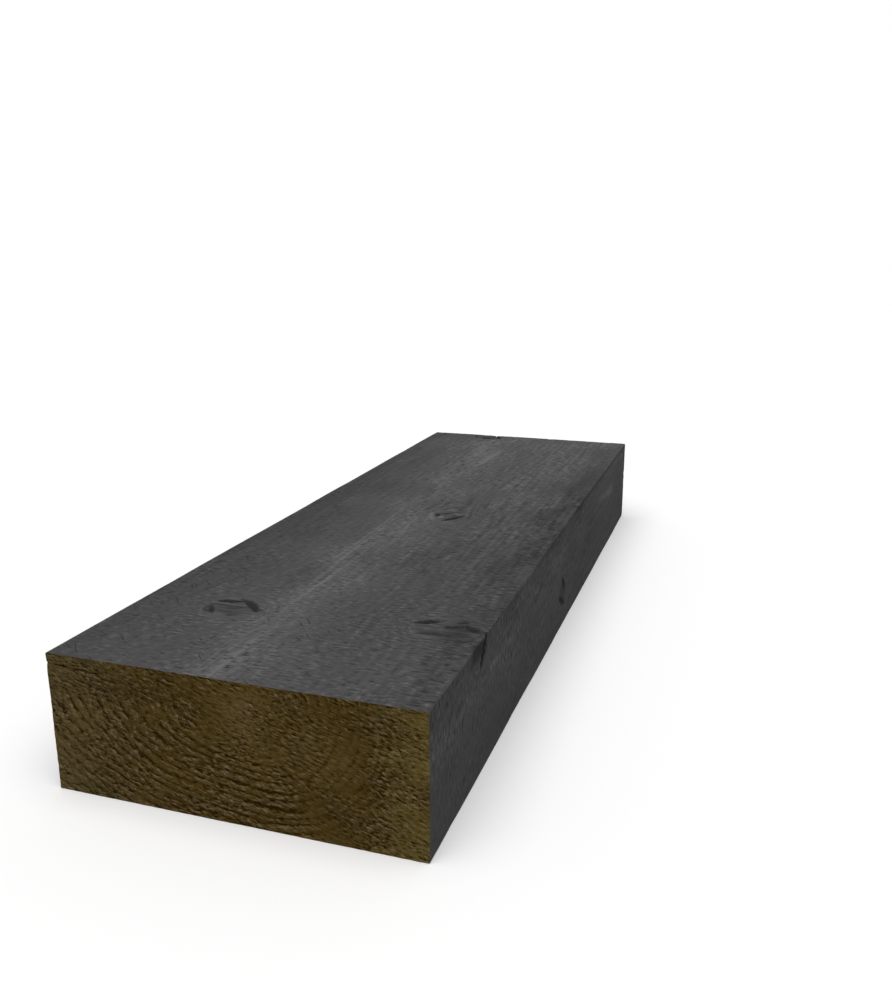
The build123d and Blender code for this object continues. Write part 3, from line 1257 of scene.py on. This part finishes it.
def bare_end_grain(look):
    """Bare cut end: torn tufts in rows along the rings, with painted highlights on their tips and painted
    shade in the gaps under them, and soaked wood at right.
    """
    material, wood = new_finish("bare_end_grain")
    saw = wood.map("grain")
    ring = wood.attribute("ring")
    lined = wood.attribute("lined")
    tone = wood.attribute("tone")
    ring_place = {"X": wood.part(saw, "X"), "Y": ring * look.row_width, "Z": 0.0}
    rings = wood.node("CombineXYZ", {}, ring_place)["Vector"]
    saw_tears = wood.noise(saw, along=4.2 * MM, across=1.6 * MM, detail=2.0)
    bent_saw = wood.bent(saw, size=3 * MM, amount=2.2 * MM)
    bent_rings = wood.bent(rings, size=3 * MM, amount=2.2 * MM)
    saw_flakes = wood.flakes(bent_saw, along=3.8 * MM, across=1.8 * MM)
    ring_flakes = wood.flakes(bent_rings, along=3.4 * MM, across=2.05 * MM)
    flakes = saw_flakes + (ring_flakes - saw_flakes) * wood.attribute("follow")
    splinters = wood.noise(saw, along=2.2 * MM, across=0.8 * MM, detail=2.0, roughness=0.6)
    clouds = wood.noise(saw, along=34 * MM, across=22 * MM)
    clumps = wood.noise(saw, along=10 * MM, across=6 * MM, detail=2.0)
    weather = wood.noise(saw, along=16 * MM, across=9 * MM, detail=4.0)
    phase = (ring + saw_tears * (1.0 - lined * 0.6)) % 1.0
    rows = wood.ramp(phase, 0.1, 0.4) * wood.ramp(phase, 1.0, 0.8) - 0.6
    across = wood.part(wood.node("TexCoord", {}, {})["Object"], "X") + clouds * 0.08
    soaked = wood.ramp(across, WIDTH * 0.36, WIDTH * 0.52)
    greyed = wood.ramp(across, WIDTH * -0.10, WIDTH * -0.48)
    crack = wood.ramp(wood.attribute("cleft") + splinters * (0.4 * MM), -0.25 * MM, 0.25 * MM)

    lift = flakes * (0.24 + clumps * 0.46) + saw_tears * 0.56 + splinters * 0.6
    lift = lift * wood.attribute("torn") + rows * (0.32 + clumps * 0.9) * lined + soaked * 0.05
    # Painted shade where the tufts lie lowest and painted highlight where they stand highest; the flakes,
    # lighter on their upper edges, carry both.
    gap = wood.ramp(lift, 0.02, -0.23)
    fray_and_highlight = wood.ramp(lift, 0.03, 0.32)
    body = wood.mixed(greyed, opaque(look.heartwood), opaque(look.greyed))
    body = wood.mixed(wood.ramp(weather, 0.02, 0.25) * 0.7, body, opaque(look.greyed))
    body = wood.mixed(soaked, body, opaque(look.sapwood))
    body = wood.mixed(0.15 - clouds * 0.9 - rows * 0.14 - tone, body, opaque(look.gap))
    colour = wood.mixed(fray_and_highlight * 0.75 + wood.larger(tone, 0.0) * 0.4, body, opaque(look.frayed))
    # Painted shade in the gaps and in the end crack.
    colour = wood.mixed(wood.larger(gap * 0.9, crack), colour, opaque(look.gap))
    wood.surface(colour, look.roughness, lift * 0.9 - crack * 0.6, specular=0.02)
    return material


def seen_directly(finish):
    """1 for rays that show a thing in the picture, straight or by a mirror or glass, and 0 for its light."""
    path = finish.node("LightPath", {}, {})
    passed_on = finish.larger(path["Is Glossy Ray"], path["Is Transmission Ray"])
    return finish.larger(path["Is Camera Ray"], passed_on)


def studio_floor(look):
    """Pale floor that is white in the picture and greyer where it lights the timber."""
    material, finish = new_finish("studio_floor")
    colour = finish.mixed(seen_directly(finish), opaque(look.floor_bounce), opaque(look.floor_seen))
    shader = finish.node("BsdfDiffuse", {}, {"Color": colour})["BSDF"]
    finish.node("OutputMaterial", {}, {"Surface": shader})
    return material


def studio_sky(look):
    """White behind the timber in the picture, and an even soft light from all round."""
    world = bpy.data.worlds.new("studio_sky")
    world.use_nodes = True
    finish = Finish(world.node_tree)
    strength = look.sky + seen_directly(finish) * (1 - look.sky)
    inputs = {"Color": opaque((1.0, 1.0, 1.0)), "Strength": strength}
    shader = finish.node("Background", {}, inputs)["Background"]
    finish.node("OutputWorld", {}, {"Surface": shader})
    return world


# Operators


class SLEEPER_OT_timber(Operator):
    """Build the sawn timber, with its knots, clefts and torn ends, in place of the plain solid"""

    bl_idname = "sleeper.timber"
    bl_label = "Build Timber"

    def execute(self, context):
        scene = context.scene
        timber = whole_timber(scene.sleeper_shape)
        piece = add_mesh_object("sleeper_timber", timber.places, timber.faces)
        mesh = piece.data
        for name, places in timber.maps.items():
            mesh.uv_layers.new(name=name).uv.foreach_set("vector", places.ravel())
        for name, values in timber.attributes.items():
            mesh.attributes.new(name, "FLOAT", "POINT").data.foreach_set("value", values)
        mesh.materials.append(charcoal_stain(scene.sleeper_stain))
        mesh.materials.append(bare_end_grain(scene.sleeper_ends))
        kinds = np.zeros(len(timber.faces), np.int32)
        kinds[timber.long_faces:] = 1
        mesh.polygons.foreach_set("material_index", kinds)
        mesh.shade_smooth()
        mark_cut_edges(mesh, kinds)
        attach(piece, "root")
        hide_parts("sleeper")
        return {"FINISHED"}


class SLEEPER_OT_stage(Operator):
    """Set up the pale floor, the soft light and the camera"""

    bl_idname = "sleeper.stage"
    bl_label = "Set Up Stage"

    def execute(self, context):
        scene = context.scene
        look = scene.sleeper_stage
        self.add_floor(look)
        self.add_lamp(scene, look)
        self.add_camera(scene, look)
        scene.world = studio_sky(look)
        scene.view_settings.view_transform = "Standard"
        return {"FINISHED"}

    def add_floor(self, look):
        """A level grid just under the timber."""
        clearance = 0.1 * MM
        lines_each_way = 5
        lines = np.linspace(-look.floor_size / 2, look.floor_size / 2, lines_each_way)
        x, y = np.meshgrid(lines, lines, indexing="ij")
        places = np.stack((x, y, x * 0 + LOW.z - clearance), axis=-1).reshape(-1, 3)
        floor = add_mesh_object("studio_floor", places, grid_quads(np.arange(x.size).reshape(x.shape)))
        floor.data.materials.append(studio_floor(look))

    def add_lamp(self, scene, look):
        """One wide, soft lamp, as strong on a level surface as it says."""
        heading = Vector(look.lamp_heading).normalized()
        lamp = bpy.data.lights.new("studio_lamp", "SUN")
        lamp.energy = look.lamp * pi / heading.z
        lamp.angle = look.lamp_softness
        holder = bpy.data.objects.new("studio_lamp", lamp)
        holder.rotation_euler = (-heading).to_track_quat("-Z", "Y").to_euler()
        scene.collection.objects.link(holder)

    def add_camera(self, scene, look):
        """A camera at the photograph's viewing angle."""
        picture_height = 36
        camera = bpy.data.cameras.new("studio_camera")
        camera.sensor_fit = "VERTICAL"
        camera.sensor_height = picture_height
        camera.lens = look.lens
        camera.clip_start = 10 * MM
        holder = bpy.data.objects.new("studio_camera", camera)
        place = Vector(look.camera_place)
        holder.location = place
        holder.rotation_euler = (Vector(look.camera_aim) - place).to_track_quat("-Z", "Y").to_euler()
        scene.collection.objects.link(holder)
        scene.camera = holder


class SLEEPER_PT_panel(Panel):
    """Settings and build buttons for the sleeper"""

    bl_idname = "SLEEPER_PT_panel"
    bl_label = "Railway Sleeper"
    bl_space_type = "VIEW_3D"
    bl_region_type = "UI"
    bl_category = "Sleeper"

    def draw(self, context):
        for group in SETTINGS:
            settings = getattr(context.scene, group)
            box = self.layout.box()
            for name in settings.bl_rna.properties.keys():
                if name not in ("rna_type", "name"):
                    box.prop(settings, name)
        for operator in (SLEEPER_OT_timber, SLEEPER_OT_stage):
            self.layout.operator(operator.bl_idname)


SETTINGS = {
    "sleeper_shape": TimberShape,
    "sleeper_stain": StainFinish,
    "sleeper_ends": EndFinish,
    "sleeper_stage": StudioStage,
}
CLASSES = (*SETTINGS.values(), SLEEPER_OT_timber, SLEEPER_OT_stage, SLEEPER_PT_panel)


def register():
    for cls in CLASSES:
        bpy.utils.register_class(cls)
    for name, group in SETTINGS.items():
        setattr(bpy.types.Scene, name, PointerProperty(type=group))


def unregister():
    for name in SETTINGS:
        delattr(bpy.types.Scene, name)
    for cls in reversed(CLASSES):
        bpy.utils.unregister_class(cls)


def main():
    register()
    bpy.ops.sleeper.timber()
    bpy.ops.sleeper.stage()


if __name__ == "__main__":
    main()
